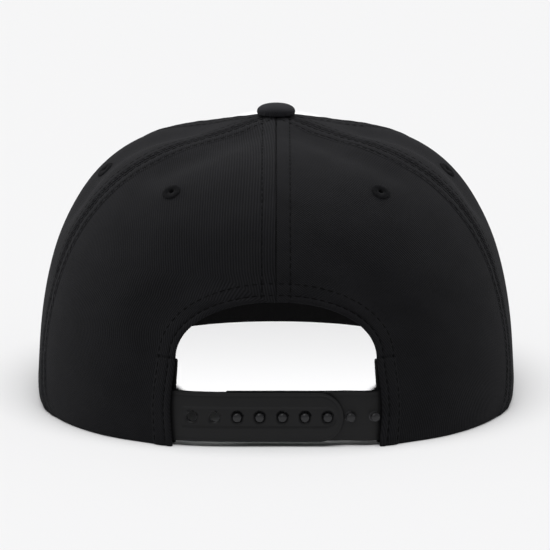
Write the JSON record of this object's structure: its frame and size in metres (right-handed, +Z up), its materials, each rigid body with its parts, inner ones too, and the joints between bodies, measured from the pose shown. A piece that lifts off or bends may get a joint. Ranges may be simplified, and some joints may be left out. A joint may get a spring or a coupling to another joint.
{
  "type": "snapback cap",
  "caption": "Structured cloth cap with a nearly flat peak, covered button, stitched eyelets, and a rear arch closed by a snap strap.",
  "frame": {"origin": "centre of the whole cap's footprint, on the surface it rests on", "axes": "+Z up, the peak points along -Y and the rear opening faces +Y, +X is the wearer's left"},
  "size_m": [0.1892, 0.2626, 0.1148],
  "materials": {
    "twill": "matt black cotton twill, panels sewn with black thread",
    "thread": "black polyester embroidery thread, slight sheen",
    "sweatband": "matt black brushed cotton",
    "strap": "injection moulded soft plastic, satin, dark grey black"
  },
  "bodies": {
    "root": {"rear_panel_left": "twill", "rear_panel_right": "twill", "side_panel_left": "twill", "side_panel_right": "twill", "front_panel_left": "twill", "front_panel_right": "twill", "button": "twill", "peak": "twill", "rear_eyelet_left": "thread", "rear_eyelet_right": "thread", "side_eyelet_left": "thread", "side_eyelet_right": "thread", "front_eyelet_left": "thread", "front_eyelet_right": "thread", "sweatband": "sweatband", "strap_holes": "strap", "strap_studs": "strap"}
  },
  "joints": []
}
